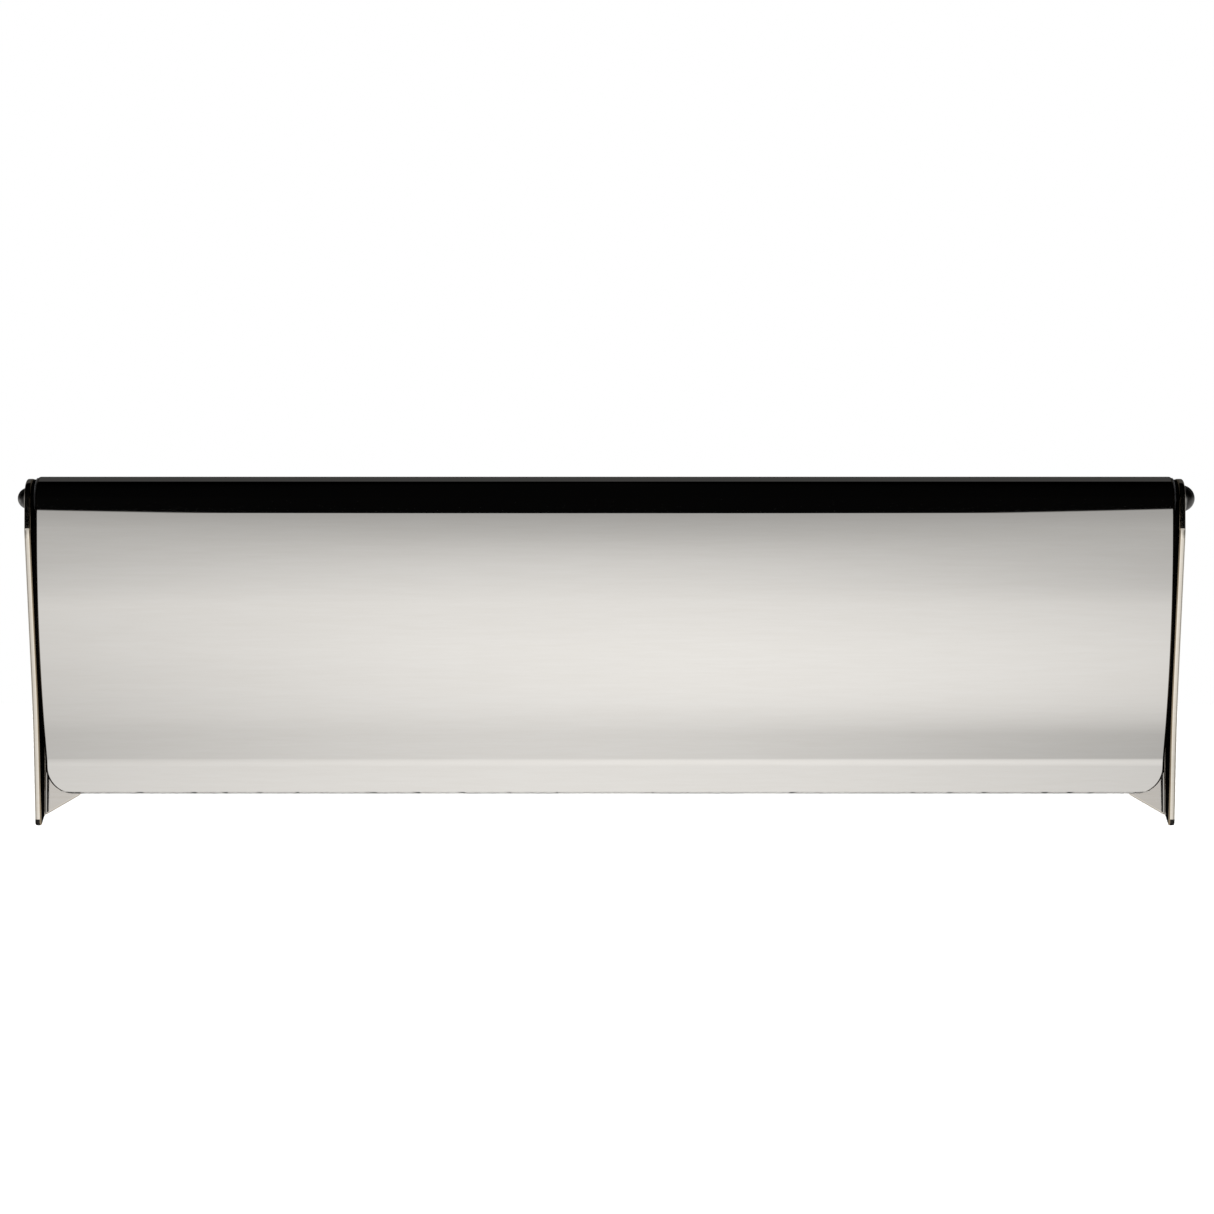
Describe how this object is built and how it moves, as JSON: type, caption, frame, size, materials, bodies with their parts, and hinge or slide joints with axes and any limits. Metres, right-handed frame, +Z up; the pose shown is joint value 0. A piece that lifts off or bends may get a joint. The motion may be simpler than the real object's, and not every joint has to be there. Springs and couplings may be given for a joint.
{
  "type": "inside flap of a letter plate",
  "caption": "Curved sheet flap rolled round a hinge rod, sprung shut between two folded side brackets that screw to the inside of a door.",
  "frame": {"origin": "centre of the four fixing holes, on the door's surface", "axes": "+X along the hinge rod, towards the end with the rod's own head; +Y into the door; -Y into the room; +Z up"},
  "size_m": [0.287, 0.0187, 0.0855],
  "materials": {
    "polished_flap": "polished nickel plate on brass sheet",
    "polished_bracket": "polished nickel plate on brass sheet",
    "plated_steel": "bright nickel plate on steel",
    "black_nylon": "moulded nylon",
    "spring_wire": "drawn stainless spring wire"
  },
  "bodies": {
    "frame": {"left_bracket": "polished_bracket", "right_bracket": "polished_bracket", "hinge_rod": "plated_steel", "rod_end_screw": "plated_steel", "left_spring": "spring_wire", "right_spring": "spring_wire"},
    "flap": {"flap": "polished_flap", "left_bush": "black_nylon", "right_bush": "black_nylon"}
  },
  "joints": [
    {"name": "flap_swing", "type": "hinge", "parent": "frame", "child": "flap", "pos_m": [0, -0.0103, 0.038], "axis": [-1, 0, 0], "range_deg": [0, 110], "stiffness_Nm_per_rad": 0.033, "springref_deg": -25.21, "deforming": ["left_spring", "right_spring"]}
  ]
}
